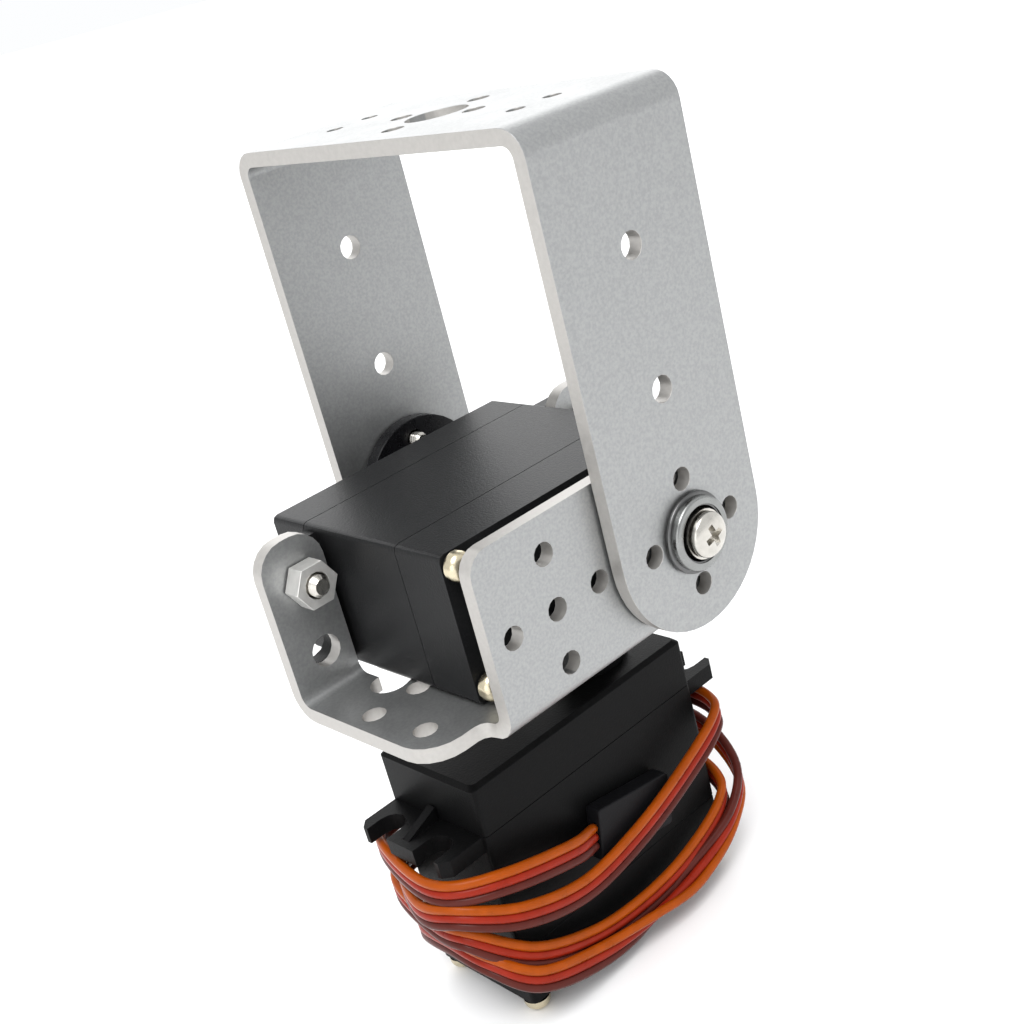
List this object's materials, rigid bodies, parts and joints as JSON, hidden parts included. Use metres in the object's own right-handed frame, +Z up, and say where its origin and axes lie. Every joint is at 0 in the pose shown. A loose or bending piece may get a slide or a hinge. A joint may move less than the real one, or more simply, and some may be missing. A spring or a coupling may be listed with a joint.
{
  "type": "pan and tilt servo unit",
  "caption": "Two hobby servos joined by an aluminium servo bracket and a U bracket, one turning the other, with a wound three-wire lead.",
  "frame": {"origin": "bottom centre of the unit's bounding box without its lead, on the surface that it stands on", "axes": "+Z up along the pan axis; +Y along the tilt axis, away from the idle pivot towards the tilt servo's horn; +X along both servo bodies towards their output end"},
  "size_m": [0.0614, 0.0628, 0.1163],
  "materials": {
    "servo_plastic": "charcoal, fine matte",
    "horn_plastic": "glossy black",
    "satin_aluminium": "satin, lightly mottled",
    "brass_screws": "pale brass plating",
    "nickel_steel": "nickel plated",
    "bearing_chrome": "polished",
    "gear_brass": "machined",
    "motor_can": "plain",
    "circuit_board": "green",
    "lead_insulation": "glossy orange, red and brown",
    "connector_plastic": "black"
  },
  "bodies": {
    "base": {"pan_case_bottom": "servo_plastic", "pan_case_middle": "servo_plastic", "pan_case_top": "servo_plastic", "pan_motor": "motor_can", "pan_gear_pin": "nickel_steel", "pan_output_bearing": "bearing_chrome", "pan_potentiometer": "motor_can", "pan_control_board": "circuit_board", "pan_strain_relief": "servo_plastic", "pan_case_screw_1": "brass_screws", "pan_case_screw_2": "brass_screws", "pan_case_screw_3": "brass_screws", "pan_case_screw_4": "brass_screws", "lead_coil": "lead_insulation", "lead_connector": "connector_plastic"},
    "platform": {"pan_output_gear": "gear_brass", "pan_horn": "horn_plastic", "pan_horn_screw": "nickel_steel", "pan_plate_screw_1": "nickel_steel", "pan_plate_screw_2": "nickel_steel", "multi_bracket": "satin_aluminium", "tab_screw_left": "nickel_steel", "tab_screw_right": "nickel_steel", "tab_nut_left": "nickel_steel", "tab_nut_right": "nickel_steel", "pivot_bearing_inner": "bearing_chrome", "pivot_screw": "nickel_steel", "pivot_nut": "nickel_steel", "tilt_case_bottom": "servo_plastic", "tilt_case_middle": "servo_plastic", "tilt_case_top": "servo_plastic", "tilt_motor": "motor_can", "tilt_gear_pin": "nickel_steel", "tilt_output_bearing": "bearing_chrome", "tilt_potentiometer": "motor_can", "tilt_control_board": "circuit_board", "tilt_strain_relief": "servo_plastic", "tilt_case_screw_1": "brass_screws", "tilt_case_screw_2": "brass_screws", "tilt_case_screw_3": "brass_screws", "tilt_case_screw_4": "brass_screws"},
    "tilt_arm": {"tilt_output_gear": "gear_brass", "tilt_horn": "horn_plastic", "tilt_horn_screw": "nickel_steel", "tilt_plate_screw_1": "nickel_steel", "tilt_plate_screw_2": "nickel_steel", "u_bracket": "satin_aluminium", "pivot_bearing_outer": "bearing_chrome"},
    "pan_motor_pinion_spin": {"pan_motor_pinion": "gear_brass"},
    "pan_gear_1_spin": {"pan_gear_1": "gear_brass"},
    "pan_gear_2_spin": {"pan_gear_2": "gear_brass"},
    "pan_gear_3_spin": {"pan_gear_3": "gear_brass"},
    "tilt_motor_pinion_spin": {"tilt_motor_pinion": "gear_brass"},
    "tilt_gear_1_spin": {"tilt_gear_1": "gear_brass"},
    "tilt_gear_2_spin": {"tilt_gear_2": "gear_brass"},
    "tilt_gear_3_spin": {"tilt_gear_3": "gear_brass"}
  },
  "joints": [
    {"name": "pan_hinge", "type": "hinge", "parent": "base", "child": "platform", "pos_m": [0.0106, -0.00035, 0.0373], "axis": [0, 0, 1], "range_deg": [-90, 90]},
    {"name": "tilt_hinge", "type": "hinge", "parent": "platform", "child": "tilt_arm", "pos_m": [0.0106, -0.00035, 0.0625], "axis": [0, 1, 0], "range_deg": [-90, 90]},
    {"name": "pan_gear_3_turn", "type": "hinge", "parent": "base", "child": "pan_gear_3_spin", "pos_m": [0.0002, -0.00035, 0.0273], "axis": [0, 0, 1], "range_deg": [-204.5, 204.5]},
    {"name": "pan_gear_2_turn", "type": "hinge", "parent": "base", "child": "pan_gear_2_spin", "pos_m": [0.0106, -0.00035, 0.0273], "axis": [0, 0, 1], "range_deg": [-457.62, 457.62]},
    {"name": "pan_gear_1_turn", "type": "hinge", "parent": "base", "child": "pan_gear_1_spin", "pos_m": [0.0002, -0.00035, 0.0273], "axis": [0, 0, 1], "range_deg": [-1027.16, 1027.16]},
    {"name": "pan_motor_pinion_turn", "type": "hinge", "parent": "base", "child": "pan_motor_pinion_spin", "pos_m": [-0.0102, -0.00035, 0.0273], "axis": [0, 0, 1], "range_deg": [-2308.6, 2308.6]},
    {"name": "tilt_gear_3_turn", "type": "hinge", "parent": "platform", "child": "tilt_gear_3_spin", "pos_m": [0.0002, 0.00465, 0.0625], "axis": [0, 1, 0], "range_deg": [-204.5, 204.5]},
    {"name": "tilt_gear_2_turn", "type": "hinge", "parent": "platform", "child": "tilt_gear_2_spin", "pos_m": [0.0106, 0.00465, 0.0625], "axis": [0, 1, 0], "range_deg": [-457.62, 457.62]},
    {"name": "tilt_gear_1_turn", "type": "hinge", "parent": "platform", "child": "tilt_gear_1_spin", "pos_m": [0.0002, 0.00465, 0.0625], "axis": [0, 1, 0], "range_deg": [-1027.16, 1027.16]},
    {"name": "tilt_motor_pinion_turn", "type": "hinge", "parent": "platform", "child": "tilt_motor_pinion_spin", "pos_m": [-0.0102, 0.00465, 0.0625], "axis": [0, 1, 0], "range_deg": [-2308.6, 2308.6]}
  ],
  "couplings": [
    {"joint": "pan_gear_3_turn", "follows": "pan_hinge", "ratio": -2.25},
    {"joint": "pan_gear_2_turn", "follows": "pan_hinge", "ratio": 5.0625},
    {"joint": "pan_gear_1_turn", "follows": "pan_hinge", "ratio": -11.391},
    {"joint": "pan_motor_pinion_turn", "follows": "pan_hinge", "ratio": 25.629},
    {"joint": "tilt_gear_3_turn", "follows": "tilt_hinge", "ratio": -2.25},
    {"joint": "tilt_gear_2_turn", "follows": "tilt_hinge", "ratio": 5.0625},
    {"joint": "tilt_gear_1_turn", "follows": "tilt_hinge", "ratio": -11.391},
    {"joint": "tilt_motor_pinion_turn", "follows": "tilt_hinge", "ratio": 25.629}
  ]
}
